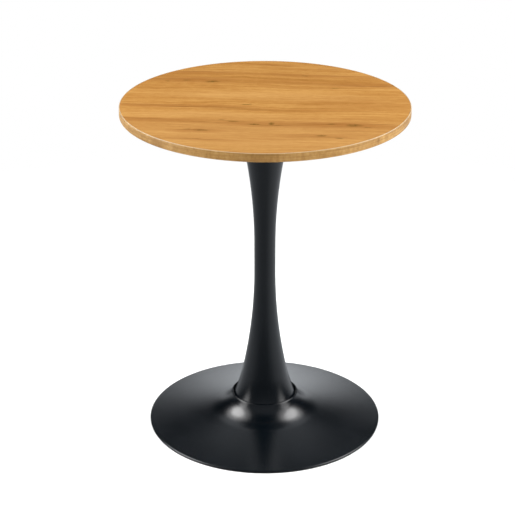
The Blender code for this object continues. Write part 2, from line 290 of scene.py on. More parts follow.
class Shader(Graph):
    """A material with a Principled shader."""

    def __init__(self, name, **sockets):
        self.material = bpy.data.materials.new(name)
        self.material.use_nodes = True
        super().__init__(self.material.node_tree)
        self.principled = self.tree.nodes["Principled BSDF"]
        for socket, value in sockets.items():
            self.principled.inputs[socket.replace("_", " ")].default_value = value

    def set(self, socket, value):
        self.tree.links.new(value, self.principled.inputs[socket])

    def place(self):
        """The surface's place, in metres."""
        return self.add("ShaderNodeTexCoord", output="Object")

    def stretch(self, vector, scale, offset=(0, 0, 0)):
        return self.add("ShaderNodeMapping", {"Vector": vector, "Scale": scale, "Location": offset})

    def noise(self, vector, detail=2.0, roughness=0.5, scale=1.0):
        inputs = {"Vector": vector, "Scale": scale, "Detail": detail, "Roughness": roughness}
        return self.add("ShaderNodeTexNoise", inputs)

    def vary(self, noise, low=0.0, high=1.0):
        """A value that follows a noise from low to high."""
        return self.remap(noise, *NOISE_RANGE, low, high)

    def bump(self, height, distance, strength):
        return self.add("ShaderNodeBump", {"Height": height, "Distance": distance, "Strength": strength})

    def mix(self, factor, a, b):
        """Mixes two colours."""
        node = self.tree.nodes.new("ShaderNodeMix")
        node.data_type = "RGBA"
        for socket, value in ((0, factor), (6, a), (7, b)):
            if isinstance(value, bpy.types.NodeSocket):
                self.tree.links.new(value, node.inputs[socket])
            else:
                node.inputs[socket].default_value = value if socket == 0 else (*value, 1.0)
        return node.outputs[2]

    def ramp(self, factor, stops):
        """A colour ramp through (position, colour) stops."""
        node = self.tree.nodes.new("ShaderNodeValToRGB")
        self.tree.links.new(factor, node.inputs["Fac"])
        elements = node.color_ramp.elements
        while len(elements) < len(stops):
            elements.new(1.0)
        for element, (position, colour) in zip(elements, stops):
            element.position = position
            element.color = (*colour, 1.0)
        return node.outputs["Color"]


# A soft spot has its full strength inside the first distance and ends at the second, in half sizes
SPOT_FADE = (0.3, 1.4)

# Colours of the wood print
WOOD_LIGHT = (0.398, 0.210, 0.062)
WOOD_MID = (0.325, 0.156, 0.040)
WOOD_DARK = (0.258, 0.111, 0.026)
WOOD_STREAK = (0.230, 0.090, 0.022)
WOOD_FIBRE = (0.155, 0.058, 0.014)
WOOD_PALE = (0.450, 0.262, 0.100)
WOOD_KNOT = (0.095, 0.052, 0.010)

# The print's grain runs at this angle to X, and strays this far from a straight line, in metres
GRAIN_ANGLE = math.radians(-4.5)
GRAIN_WANDER = 0.008
GRAIN_RIPPLE = 0.004

# Broad darker bands in the print: middle along the grain and across it, half length, half width, strength
BANDS = (
    (-0.150, 0.200, 0.110, 0.013, 0.80),
    (0.080, 0.196, 0.170, 0.012, 0.75),
    (-0.165, 0.146, 0.120, 0.020, 0.90),
    (0.030, 0.142, 0.130, 0.014, 0.65),
    (0.200, 0.136, 0.120, 0.016, 0.85),
    (0.060, 0.108, 0.120, 0.007, 0.45),
    (-0.180, -0.024, 0.170, 0.011, 0.90),
    (0.060, -0.036, 0.180, 0.008, 0.70),
    (0.200, 0.004, 0.130, 0.040, 0.40),
    (-0.190, -0.118, 0.130, 0.015, 0.85),
    (0.000, -0.124, 0.130, 0.017, 0.80),
    (0.150, -0.128, 0.130, 0.018, 0.95),
    (-0.125, -0.176, 0.060, 0.012, 0.75),
    (0.105, -0.194, 0.090, 0.013, 0.70),
    (-0.110, -0.226, 0.110, 0.008, 0.60),
    (0.010, -0.212, 0.100, 0.006, 0.40),
    (0.010, 0.266, 0.050, 0.007, 0.50),
    (0.120, 0.245, 0.070, 0.007, 0.45),
)

# Broad paler zones, laid out the same way
PALE_ZONES = (
    (0.000, -0.200, 0.400, 0.130, 0.24),
    (-0.100, -0.080, 0.200, 0.025, 0.20),
    (0.000, 0.050, 0.250, 0.030, 0.15),
)

# Thin dark lines in the bands
FIBRES = (
    (-0.160, 0.206, 0.075, 0.0022, 0.75),
    (0.000, 0.195, 0.080, 0.0020, 0.65),
    (0.165, 0.201, 0.080, 0.0022, 0.70),
    (-0.205, 0.150, 0.070, 0.0025, 0.80),
    (-0.120, 0.162, 0.050, 0.0018, 0.60),
    (-0.080, 0.133, 0.080, 0.0022, 0.65),
    (0.090, 0.140, 0.080, 0.0022, 0.65),
    (0.215, 0.129, 0.070, 0.0024, 0.85),
    (0.140, 0.112, 0.060, 0.0015, 0.60),
    (-0.245, -0.016, 0.090, 0.0022, 0.80),
    (-0.120, -0.030, 0.110, 0.0030, 0.95),
    (-0.010, -0.040, 0.110, 0.0022, 0.80),
    (0.090, -0.024, 0.090, 0.0015, 0.50),
    (-0.235, -0.112, 0.080, 0.0025, 0.80),
    (-0.130, -0.124, 0.080, 0.0022, 0.70),
    (-0.060, -0.114, 0.040, 0.0018, 0.75),
    (0.040, -0.132, 0.060, 0.0022, 0.75),
    (0.110, -0.122, 0.060, 0.0025, 0.85),
    (0.180, -0.136, 0.060, 0.0022, 0.80),
    (0.240, -0.118, 0.050, 0.0020, 0.70),
    (-0.130, -0.170, 0.045, 0.0020, 0.80),
    (0.070, -0.186, 0.050, 0.0016, 0.60),
    (0.135, -0.198, 0.050, 0.0022, 0.80),
    (-0.110, -0.224, 0.090, 0.0020, 0.65),
    (0.020, -0.240, 0.080, 0.0014, 0.45),
    (-0.060, 0.090, 0.110, 0.0014, 0.40),
    (0.120, 0.060, 0.120, 0.0014, 0.40),
    (-0.130, 0.040, 0.120, 0.0014, 0.40),
    (0.020, 0.010, 0.110, 0.0014, 0.40),
    (0.120, 0.232, 0.080, 0.0016, 0.55),
    (0.000, 0.262, 0.060, 0.0020, 0.60),
)

# Small knots: middle along the grain and across it, half length, half width, strength
KNOTS = (
    (-0.122, 0.137, 0.014, 0.0070, 0.95),
    (-0.178, 0.142, 0.009, 0.0050, 0.55),
    (-0.219, 0.134, 0.006, 0.0045, 0.45),
    (-0.038, -0.007, 0.011, 0.0028, 0.95),
    (-0.030, -0.002, 0.004, 0.0015, 0.90),
    (-0.178, -0.053, 0.005, 0.0022, 0.80),
    (-0.012, -0.127, 0.014, 0.0042, 0.95),
    (0.022, -0.121, 0.006, 0.0085, 0.80),
    (0.034, -0.131, 0.012, 0.0022, 0.80),
    (-0.056, -0.116, 0.013, 0.0032, 0.80),
    (-0.078, -0.108, 0.008, 0.0022, 0.65),
    (0.140, -0.122, 0.009, 0.0045, 0.60),
    (0.186, -0.128, 0.016, 0.0065, 0.75),
    (0.212, -0.138, 0.008, 0.0030, 0.60),
    (0.124, -0.190, 0.011, 0.0040, 0.80),
    (0.160, -0.203, 0.009, 0.0026, 0.75),
    (0.072, 0.196, 0.008, 0.0032, 0.60),
    (0.140, 0.112, 0.008, 0.0028, 0.65),
    (-0.112, -0.174, 0.016, 0.0038, 0.70),
    (-0.142, -0.166, 0.008, 0.0020, 0.60),
)


def spots(shader, vector, rows):
    """The strongest of some soft long spots: (along, across, half length, half width, strength)."""
    strongest = None
    for along, across, half_length, half_width, strength in rows:
        scale = (1 / half_length, 1 / half_width, 0)
        centre = (-along / half_length, -across / half_width, 0)
        offset = shader.stretch(vector, scale, centre)
        away = shader.add("ShaderNodeVectorMath", {0: offset}, output="Value", operation="LENGTH")
        spot = shader.remap(away, *SPOT_FADE, strength, 0.0, smooth=True)
        strongest = shader.maths("MAXIMUM", strongest, spot) if strongest else spot
    return strongest


def grain_place(shader):
    """Place along and across the grain, which wanders a little."""
    rotation = (0, 0, -GRAIN_ANGLE)
    along_grain = shader.add("ShaderNodeMapping", {"Vector": shader.place(), "Rotation": rotation})
    wander = shader.noise(shader.stretch(along_grain, (3.5, 7.0, 1.0), (3.1, 0.4, 0)), detail=1.0)
    ripple = shader.noise(shader.stretch(along_grain, (18.0, 50.0, 1.0), (0.7, 5.2, 0)), detail=3.0)
    wander = shader.remap(wander, 0.2, 0.8, -GRAIN_WANDER, GRAIN_WANDER)
    ripple = shader.remap(ripple, 0.2, 0.8, -GRAIN_RIPPLE, GRAIN_RIPPLE)
    shift = shader.add("ShaderNodeCombineXYZ", {"Y": shader.total(wander, ripple)})
    return shader.add("ShaderNodeVectorMath", {0: along_grain, 1: shift}, operation="ADD")


def wood_laminate():
    """Honey-coloured wood print with long grain, darker streaks and a few small knots."""
    shader = Shader("wood_laminate", Specular_IOR_Level=0.0)
    grain = grain_place(shader)

    def layer(scale, offset, detail, roughness):
        return shader.noise(shader.stretch(grain, (*scale, 1.0), (*offset, 0)), detail, roughness)

    zones = layer((1.4, 13.0), (7.3, 1.9), 2.0, 0.55)
    bands = layer((2.6, 80.0), (1.3, 4.1), 3.0, 0.6)
    lines = layer((7.0, 210.0), (2.2, 0.3), 4.0, 0.7)
    flame = layer((60.0, 150.0), (0.4, 3.3), 3.0, 0.7)
    pores = layer((90.0, 1300.0), (0.0, 0.0), 3.0, 0.7)
    blots = layer((120.0, 320.0), (0.0, 6.1), 3.0, 0.7)
    shares = ((zones, 0.20), (bands, 0.22), (lines, 0.32), (flame, 0.12), (pores, 0.14))
    tone = shader.total(*(shader.product(noise, share) for noise, share in shares))
    colour = shader.ramp(tone, ((0.42, WOOD_DARK), (0.495, WOOD_MID), (0.57, WOOD_LIGHT)))
    colour = shader.mix(spots(shader, grain, PALE_ZONES), colour, WOOD_PALE)
    broken = shader.total(shader.product(bands, 0.35), shader.product(lines, 0.65))
    for rows, shade, shape in (
        (BANDS, WOOD_STREAK, shader.remap(broken, 0.38, 0.58, 0.25, 0.80)),
        (FIBRES, WOOD_FIBRE, shader.remap(broken, 0.42, 0.54, 0.15, 0.65)),
        (KNOTS, WOOD_KNOT, shader.remap(blots, 0.38, 0.58, 0.35, 1.0)),
    ):
        colour = shader.mix(shader.product(spots(shader, grain, rows), shape), colour, shade)
    shader.set("Base Color", colour)
    shader.set("Roughness", shader.vary(lines, 0.48, 0.38))
    shader.set("Normal", shader.bump(pores, 0.00004, 0.5))
    return shader.material


# Darker patches along the edge strip: azimuth, half length, strength. The first is at the seam.
EDGE_PATCHES = (
    (SEAM_AZIMUTH, 0.011, 0.50),
    (math.radians(-93), 0.070, 0.28),
    (math.radians(-135), 0.024, 0.35),
    (math.radians(-20), 0.030, 0.25),
    (math.radians(150), 0.050, 0.35),
    (math.radians(70), 0.040, 0.35),
    (math.radians(15), 0.060, 0.30),
)
EDGE_PATCH = (0.16, 0.074, 0.014)

EDGE_STOPS = (
    (0.40, (0.218, 0.108, 0.021)),
    (0.50, (0.300, 0.160, 0.040)),
    (0.60, (0.382, 0.224, 0.074)),
)

# The painted highlight, a paler line along the eased top edge, fades in between these depths below the
# strip's top
HIGHLIGHT_DEPTHS = (0.0011, 0.0006)
HIGHLIGHT_STRENGTH = 0.45
EDGE_HIGHLIGHT = (0.48, 0.40, 0.28)


def wood_edge():
    """Edge strip in the same tone, darker next to the seam, with a painted highlight: a paler line along its
    eased top edge.
    """
    shader = Shader("wood_edge")
    here = shader.place()
    long_grain = shader.noise(shader.stretch(here, (9.0, 9.0, 420.0)), detail=3.0, roughness=0.6)
    flecks = shader.noise(shader.stretch(here, (150.0, 150.0, 70.0)), detail=3.0, roughness=0.7)
    cloud = shader.noise(shader.stretch(here, (22.0, 22.0, 40.0)), detail=2.0)
    shares = ((long_grain, 0.45), (flecks, 0.35), (cloud, 0.20))
    tone = shader.total(*(shader.product(noise, share) for noise, share in shares))
    colour = shader.ramp(tone, EDGE_STOPS)
    low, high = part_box("edge_band")
    for azimuth, reach, strength in EDGE_PATCHES:
        place = (high.x * math.cos(azimuth), high.x * math.sin(azimuth), (low.z + high.z) / 2)
        away = shader.add("ShaderNodeVectorMath", {0: here, 1: place}, output="Value", operation="DISTANCE")
        near = shader.remap(away, reach * 0.2, reach, strength, 0.0, smooth=True)
        colour = shader.mix(near, colour, EDGE_PATCH)
    height = shader.add("ShaderNodeSeparateXYZ", {0: here}, output=2)
    # Painted highlight: the strip's colour turns paler towards its top, along the eased edge
    deep, shallow = (high.z - depth for depth in HIGHLIGHT_DEPTHS)
    painted_highlight = shader.remap(height, deep, shallow, 0.0, HIGHLIGHT_STRENGTH)
    colour = shader.mix(painted_highlight, colour, EDGE_HIGHLIGHT)
    shader.set("Base Color", colour)
    shader.set("Roughness", shader.vary(flecks, 0.42, 0.52))
    shader.set("Normal", shader.bump(flecks, 0.00003, 0.5))
    return shader.material


# The coat's colours, its reflection level, the range of edge-on views where that changes, and how far its
# roughness strays
COAT_DEEP = (0.0002, 0.0011, 0.0021)
COAT_PALE = (0.0007, 0.0018, 0.0031)
COAT_SHEEN = 0.5
COAT_GRAZING = (0.77, 0.86)
COAT_UNEVENNESS = 0.015


def powder_coat(name, roughness, edge_sheen=None):
    """Black powder coat: a fine orange-peel skin, and where given a lower reflection level seen edge-on."""
    shader = Shader(name, Specular_IOR_Level=COAT_SHEEN)
    here = shader.place()
    peel = shader.noise(here, scale=320.0, detail=2.0)
    grit = shader.noise(here, scale=2200.0, detail=2.0)
    cloud = shader.noise(here, scale=14.0, detail=3.0)
    shader.set("Base Color", shader.mix(shader.vary(cloud), COAT_DEEP, COAT_PALE))
    shader.set("Roughness", shader.vary(cloud, roughness - COAT_UNEVENNESS, roughness + COAT_UNEVENNESS))
    if edge_sheen is not None:
        grazing = shader.add("ShaderNodeLayerWeight", {"Blend": 0.5}, output="Facing")
        sheen = shader.remap(grazing, *COAT_GRAZING, COAT_SHEEN, edge_sheen, smooth=True)
        shader.set("Specular IOR Level", sheen)
    height = shader.total(peel, shader.product(grit, 0.35))
    shader.set("Normal", shader.bump(height, 0.00014, 0.8))
    return shader.material


def backing_laminate():
    """Matt black phenolic sheet with a fine cloudy print."""
    shader = Shader("backing_laminate")
    cloud = shader.noise(shader.place(), scale=60.0, detail=5.0, roughness=0.7)
    grit = shader.noise(shader.place(), scale=1800.0, detail=2.0)
    shader.set("Base Color", shader.mix(shader.vary(cloud), (0.020, 0.019, 0.018), (0.032, 0.030, 0.028)))
    shader.set("Roughness", shader.vary(cloud, 0.55, 0.68))
    shader.set("Normal", shader.bump(grit, 0.00003, 0.6))
    return shader.material


def fibreboard():
    """Pressed wood fibre, pale brown and speckled."""
    shader = Shader("fibreboard")
    speck = shader.noise(shader.place(), scale=900.0, detail=4.0, roughness=0.7)
    stops = ((0.35, (0.20, 0.12, 0.06)), (0.50, (0.36, 0.24, 0.13)), (0.65, (0.50, 0.36, 0.21)))
    shader.set("Base Color", shader.ramp(speck, stops))
    shader.set("Roughness", shader.vary(speck, 0.85, 0.95))
    shader.set("Normal", shader.bump(speck, 0.0002, 0.8))
    return shader.material


ZINC_UNEVENNESS = 0.06


def zinc(name, roughness):
    """Bright zinc plate with a faint warm and blue passivation, and turning marks."""
    shader = Shader(name, Metallic=1.0)
    here = shader.place()
    cloud = shader.noise(here, scale=160.0, detail=3.0)
    marks = shader.noise(shader.stretch(here, (900.0, 900.0, 5000.0)), detail=3.0)
    stops = ((0.35, (0.52, 0.55, 0.60)), (0.50, (0.62, 0.62, 0.60)), (0.65, (0.64, 0.59, 0.50)))
    shader.set("Base Color", shader.ramp(cloud, stops))
    shader.set("Roughness", shader.vary(marks, roughness - ZINC_UNEVENNESS, roughness + ZINC_UNEVENNESS))
    shader.set("Normal", shader.bump(marks, 0.00003, 0.5))
    return shader.material


def rubber():
    """Black moulded rubber, dull and slightly dusty."""
    shader = Shader("rubber", Specular_IOR_Level=0.25)
    dust = shader.noise(shader.place(), scale=90.0, detail=5.0, roughness=0.7)
    grit = shader.noise(shader.place(), scale=2200.0, detail=2.0)
    dusty = shader.remap(dust, 0.4, 0.75)
    shader.set("Base Color", shader.mix(dusty, (0.003, 0.003, 0.003), (0.010, 0.0097, 0.0092)))
    shader.set("Roughness", shader.vary(dust, 0.66, 0.82))
    shader.set("Normal", shader.bump(grit, 0.00004, 0.7))
    return shader.material


# --- Tabletop ---------------------------------------------------------------------------------


def make_top_surface(material):
    """The laminate disc, with a sliver of easing at its upper edge."""
    low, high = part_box("tabletop_laminate")
    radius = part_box("edge_band")[1].x - BAND_THICKNESS - GLUE_LINE
    outline = rounded([(0, low.z, 0), (radius, low.z, 0), (radius, high.z, LAMINATE_EASING), (0, high.z, 0)])
    top = turned("top_surface", outline, FINE_SEGMENTS, material, closed=False)
    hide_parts("tabletop_laminate")


def make_edge_strip(material):
    """The edge band, eased along its outer edges, with a hairline seam."""
    low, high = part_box("edge_band")
    radius = high.x
    inner = radius - BAND_THICKNESS
    corners = [
        (inner, high.z, LAMINATE_EASING),
        (inner, low.z, LAMINATE_EASING),
        (radius, low.z, BAND_EASING),
        (radius, high.z, BAND_EASING),
    ]
    bm = bmesh.new()
    seam = GAP / radius
    revolve(bm, rounded(corners, 6), FINE_SEGMENTS, start=SEAM_AZIMUTH + seam / 2, sweep=math.tau - seam)
    strip = piece_from("edge_strip", bm, material, sharp=60)
    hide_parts("edge_band")


def make_mounting_plate(material):
    """The steel disc under the top, drilled for its screws."""
    low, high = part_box("top_plate")
    radius = high.x
    rims = ((radius, low.z, PLATE_FILLET), (radius, high.z, PLATE_FILLET))
    outline = rounded([(0, low.z, 0), *rims, (0, high.z, 0)])
    plate = turned("mounting_plate", outline, MEDIUM_SEGMENTS, material, closed=False)
    drill(plate, nodes_of("top_screw", SCREW_COUNT), SCREW_HOLE_RADIUS, low.z, high.z)
    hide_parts("top_plate")


def cross_punch():
    """A cross-shaped punch that narrows upwards, for a screw's recess."""
    bm = bmesh.new()
    levels = []
    for z, arm, half_width in CROSS_LEVELS:
        corners = []
        for quarter in range(4):
            turn = Matrix.Rotation(math.radians(90 * quarter), 3, "Z")
            for x, y in ((arm, -half_width), (arm, half_width), (half_width, half_width)):
                corners.append(bm.verts.new(turn @ Vector((x, y, z))))
        levels.append(corners)
    lower, upper = levels
    for i, corner in enumerate(lower):
        j = (i + 1) % len(lower)
        bm.faces.new((corner, lower[j], upper[j], upper[i]))
    bm.faces.new(lower)
    bm.faces.new(upper)
    return bm


def copy_of(piece, name):
    """Another object with the same mesh."""
    twin = bpy.data.objects.new(name, piece.data)
    bpy.context.scene.collection.objects.link(twin)
    return twin


def make_board_screws(material):
    """Pan heads with a cross recess, under plain shanks with a cone point."""
    low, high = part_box("top_screw_1")
    head = (high.x - low.x) / 2
    seat = SCREW_HEAD_HEIGHT
    tip = high.z - low.z
    corners = [
        (0, 0, 0),
        (head * 0.62, 0.0, 0.0012),
        (head, seat * 0.52, 0.0008),
        (head, seat, 0.0002),
        (SCREW_SHANK_RADIUS, seat, 0.0003),
        (SCREW_SHANK_RADIUS, tip - SCREW_POINT, 0.0004),
        (0, tip, 0),
    ]
    screw = turned("board_screw_1", rounded(corners, 5), SMALL_SEGMENTS, material, closed=False)
    cut(screw, cross_punch())
    for index in range(1, SCREW_COUNT + 1):
        if index > 1:
            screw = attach(copy_of(screw, f"board_screw_{index}"), "root")
        screw.location = (*middle(f"top_screw_{index}"), low.z)
        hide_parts(f"top_screw_{index}")


# --- Column -----------------------------------------------------------------------------------


def trumpet_end(reach, sweep_steps=36, flare_steps=14):
    """(radius, distance, lean) out along one end of the column, from the waist."""
    points = [(WAIST_RADIUS, 0.0, 0.0)]
    arcs = ((SWEEP_RADIUS, SWEEP_REACH, sweep_steps), (FLARE_RADIUS, reach - SWEEP_REACH, flare_steps))
    for arc_radius, length, steps in arcs:
        radius, distance, first = points[-1]
        last = math.asin(math.sin(first) + length / arc_radius)
        for step in range(1, steps + 1):
            lean = first + (last - first) * step / steps
            out = arc_radius * (math.cos(first) - math.cos(lean))
            along = arc_radius * (math.sin(lean) - math.sin(first))
            points.append((radius + out, distance + along, lean))
    return points


def make_column(material):
    """The trumpet shell. Returns the (radius, height) of its upper end."""
    low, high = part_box("column_shell")
    waist_top = WAIST_CENTRE_Z + WAIST_LENGTH / 2
    waist_bottom = WAIST_CENTRE_Z - WAIST_LENGTH / 2
    upper = [(r, waist_top + d, lean) for r, d, lean in trumpet_end(high.z - waist_top)]
    lower = [(r, waist_bottom - d, lean) for r, d, lean in trumpet_end(waist_bottom - low.z)]
    surface = upper[::-1] + lower
    outside = [(r, z) for r, z, lean in surface]
    inside = [(r - COLUMN_WALL / math.cos(lean), z) for r, z, lean in surface]
    column = turned("trumpet_column", outside + inside[::-1], FINE_SEGMENTS, material)
    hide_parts("column_shell")
    return outside[0]


def make_weld(column_top, material):
    """Rippled weld bead in the corner between the column's top end and the plate."""
    radius, z = column_top
    steps = WELD_RIPPLES * 4
    bm = bmesh.new()
    rings = []
    for step in range(steps):
        angle = math.tau * step / steps
        swell = WELD_SIZE * (1 + 0.10 * math.sin(WELD_RIPPLES * angle) + 0.05 * math.sin(17 * angle))
        section = arc((radius - 0.0004, z - 0.0001), swell, -math.pi * 0.62, 0.0, 6)
        section.append((radius - 0.0006, z - 0.0001))
        rings.append([bm.verts.new((r * math.cos(angle), r * math.sin(angle), h)) for r, h in section])
    for first, second in zip(rings, rings[1:] + rings[:1]):
        for i in range(len(first)):
            j = (i + 1) % len(first)
            bm.faces.new((first[i], first[j], second[j], second[i]))
    weld = piece_from("top_weld", bm, material, sharp=50)


# --- Foot -------------------------------------------------------------------------------------


def sloped_arc(start, end_radius, start_slope, end_slope, steps):
    """(radius, height, slope) up a hollow sweep, from its outer end to its inner end."""
    sweep_radius = (start[0] - end_radius) / (math.sin(end_slope) - math.sin(start_slope))
    points = []
    for step in range(steps + 1):
        slope = start_slope + (end_slope - start_slope) * step / steps
        radius = start[0] - sweep_radius * (math.sin(slope) - math.sin(start_slope))
        height = start[1] + sweep_radius * (math.cos(start_slope) - math.cos(slope))
        points.append((radius, height, slope))
    return points


def foot_surface(foot_radius, disc_steps=24, collar_steps=32, lip_steps=14):
    """(radius, height, slope) of the foot's upper side, from the rim to the inside of the lip."""
    rim_end = foot_radius - RIM_FILLET + RIM_FILLET * math.sin(RIM_SLOPE)
    disc = sloped_arc((rim_end, RIM_Z), KNEE_RADIUS, RIM_SLOPE, KNEE_SLOPE, disc_steps)
    collar = sloped_arc(disc[-1][:2], COLLAR_RADIUS, KNEE_SLOPE, COLLAR_SLOPE, collar_steps)
    top_radius, top_z, slope = collar[-1]
    centre = (top_radius - LIP_ROLL * math.sin(slope), top_z - LIP_ROLL * math.cos(slope))
    lip = []
    for step in range(1, lip_steps + 1):
        turn = slope - (slope + math.pi / 2) * step / lip_steps
        lip.append((centre[0] + LIP_ROLL * math.sin(turn), centre[1] + LIP_ROLL * math.cos(turn), turn))
    return disc + collar[1:] + lip


def make_foot(material):
    """The spun shell with its collar and recessed hub, drilled for the bolts."""
    low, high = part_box("base_shell")
    foot_radius = high.x
    hub_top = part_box("column_shell")[0].z - GAP
    surface = foot_surface(foot_radius)
    fillet_z = RIM_Z - RIM_FILLET * math.cos(RIM_SLOPE)
    rim = arc((foot_radius - RIM_FILLET, fillet_z), RIM_FILLET, 0, math.pi / 2 - RIM_SLOPE, 10)[:-1]
    wall = surface[-1][0]
    bend = (wall - HUB_BEND, hub_top + HUB_BEND)
    tuck = arc((foot_radius - RIM_TUCK, low.z + RIM_TUCK), RIM_TUCK, -math.pi / 2, 0, 6)
    shown = [(r, z) for r, z, _ in surface]
    upper = [*tuck, *rim, *shown, *arc(bend, HUB_BEND, 0, -math.pi / 2, 6)]
    hub = [(0, hub_top), (0, hub_top - SHEET)]
    below = [(r - SHEET * math.sin(s), z - SHEET * math.cos(s)) for r, z, s in reversed(surface)]
    under_bend = arc(bend, HUB_BEND + SHEET, -math.pi / 2, 0, 8)
    inner_rim = foot_radius - SHEET
    outer = below[:-1] + [(inner_rim, below[-1][1]), (inner_rim, low.z)]
    outline = hub[1:] + under_bend + outer + upper + hub[:1]
    foot = turned("dished_foot", outline, FINE_SEGMENTS, material, closed=False)
    drill(foot, nodes_of("base_bolt", BOLT_COUNT), BOLT_HOLE_RADIUS, hub_top - SHEET, hub_top)
    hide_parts("base_shell")


def make_ring(material):
    """Rubber ring: a tread under the rim's edge and an upstand inside it."""
    low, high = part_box("floor_ring")
    tread = high.x
    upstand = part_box("base_shell")[1].x - SHEET - GAP
    inside = upstand - RING_WIDTH
    corners = [
        (inside, low.z, 0.0008),
        (tread, low.z, 0.0005),
        (tread, low.z + RING_TREAD, 0.0002),
        (upstand, low.z + RING_TREAD, 0),
        (upstand, high.z, 0.0003),
        (inside, high.z, 0.0006),
    ]
    ring = turned("rubber_ring", rounded(corners), FINE_SEGMENTS, material)
    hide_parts("floor_ring")


def make_stiffener(material):
    """The plate that spreads the bolts' load under the hub."""
    low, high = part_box("hub_plate")
    radius = high.x
    rims = ((radius, low.z, STIFFENER_FILLET), (radius, high.z, STIFFENER_FILLET))
    outline = rounded([(0, low.z, 0), *rims, (0, high.z, 0)])
    plate = turned("hub_stiffener", outline, MEDIUM_SEGMENTS, material, closed=False)
    drill(plate, nodes_of("base_bolt", BOLT_COUNT), BOLT_HOLE_RADIUS, low.z, high.z)
    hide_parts("hub_plate")


def washer_corners(low, high, rim_fillet):
    """A washer's section, with fillets, between its bore and the rim of its box."""
    radius = (high.x - low.x) / 2
    bore = BOLT_RADIUS + GAP
    rims = ((radius, low.z, rim_fillet), (radius, high.z, 0.0002))
    return [(bore, low.z, 0.0002), *rims, (bore, high.z, 0.0002)]


def make_flat_washer(index, material):
    """A plain flat ring under a bolt's spring washer."""
    low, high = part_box(f"flat_washer_{index}")
    x, y = middle(f"flat_washer_{index}")
    outline = rounded(washer_corners(low, high, 0.0005))
    washer = turned(f"plain_washer_{index}", outline, SMALL_SEGMENTS, material, location=(x, y, 0))
    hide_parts(f"flat_washer_{index}")


def make_spring_washer(index, material):
    """A split ring of square wire."""
    low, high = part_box(f"spring_washer_{index}")
    x, y = middle(f"flat_washer_{index}")
    outline = rounded(washer_corners(low, high, 0.0002), 3)
    bm = bmesh.new()
    revolve(bm, outline, SMALL_SEGMENTS, sweep=math.tau - WASHER_SPLIT)
    washer = piece_from(f"split_washer_{index}", bm, material, (x, y, 0))
    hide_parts(f"spring_washer_{index}")


def make_socket_bolt(index, material):
    """Button head with a hexagon socket, under a plain shank."""
    low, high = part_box(f"base_bolt_{index}")
    x, y = middle(f"base_bolt_{index}")
    head = (high.x - low.x) / 2
    seat = BOLT_HEAD_HEIGHT
    tip = high.z - low.z
    corners = [
        (head * 0.60, 0.0, 0.0012),
        (head, seat * 0.62, 0.0014),
        (head, seat, 0.0003),
        (BOLT_RADIUS, seat, 0.0003),
        (BOLT_RADIUS, tip - BOLT_CHAMFER, 0.0002),
        (BOLT_RADIUS - BOLT_CHAMFER, tip, 0.0001),
    ]
    outline = rounded([(0, 0, 0), *corners, (0, tip, 0)], 5)
    bolt = turned(f"socket_bolt_{index}", outline, SMALL_SEGMENTS, material, closed=False)
    cut(bolt, cylinders([(0, 0)], BOLT_SOCKET_RADIUS, -BOLT_SOCKET_OVERSHOOT, BOLT_SOCKET_DEPTH, segments=6))
    bolt.location = (x, y, low.z)
    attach(bolt, "root")
    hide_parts(f"base_bolt_{index}")


# --- Studio -----------------------------------------------------------------------------------


def make_floor():
    """A pale disc that fades into the white background, so that it shows no edge."""
    bm = bmesh.new()
    bmesh.ops.create_circle(bm, cap_ends=True, radius=FLOOR_RADIUS, segments=96)
    mesh = bpy.data.meshes.new("studio_floor")
    bm.to_mesh(mesh)
    bm.free()
    floor = bpy.data.objects.new("studio_floor", mesh)
    bpy.context.scene.collection.objects.link(floor)
    shader = Shader("floor_paint", Base_Color=(0.86, 0.86, 0.86, 1.0), Roughness=0.7)
    away = shader.add("ShaderNodeVectorMath", {0: shader.place()}, output="Value", operation="LENGTH")
    shader.set("Alpha", shader.remap(away, FLOOR_FADE_START, FLOOR_RADIUS, 1.0, 0.0, smooth=True))
    mesh.materials.append(shader.material)
    floor.visible_glossy = False


# Name, azimuth (0 is the front and 90 the right), elevation, distance, width, height, power and whether
# reflections show it. Each side light has a wide dim halo round it and a small low one under it.
SOFTBOXES = (
    ("softbox_right", 92, 42, 2.7, 1.5, 1.6, 48, True),
    ("softbox_left", -92, 37.5, 2.7, 1.6, 1.45, 55, True),
    ("halo_right", 89, 43, 2.8, 3.2, 2.3, 46, True),
    ("halo_left", -90, 41, 2.8, 3.2, 2.3, 50, True),
    ("low_right", 69, 17, 2.8, 1.5, 1.1, 12, True),
    ("low_left", -73, 16, 2.8, 1.4, 1.0, 13, True),
    ("front_fill", 24, 12, 3.0, 1.4, 1.4, 53, False),
)


def make_softbox(name, azimuth, elevation, distance, width, height, power, glossy):
    """A round or oval light that faces the foot."""
    a, e = math.radians(azimuth), math.radians(elevation)
    direction = Vector((math.sin(a) * math.cos(e), -math.cos(a) * math.cos(e), math.sin(e)))
    light = bpy.data.lights.new(name, "AREA")
    light.shape = "ELLIPSE"
    light.size = width
    light.size_y = height
    light.energy = power
    lamp = bpy.data.objects.new(name, light)
    lamp.location = direction * distance + LIGHT_AIM
    lamp.rotation_euler = (-direction).to_track_quat("-Z", "Y").to_euler()
    lamp.visible_camera = False
    lamp.visible_glossy = glossy
    bpy.context.scene.collection.objects.link(lamp)


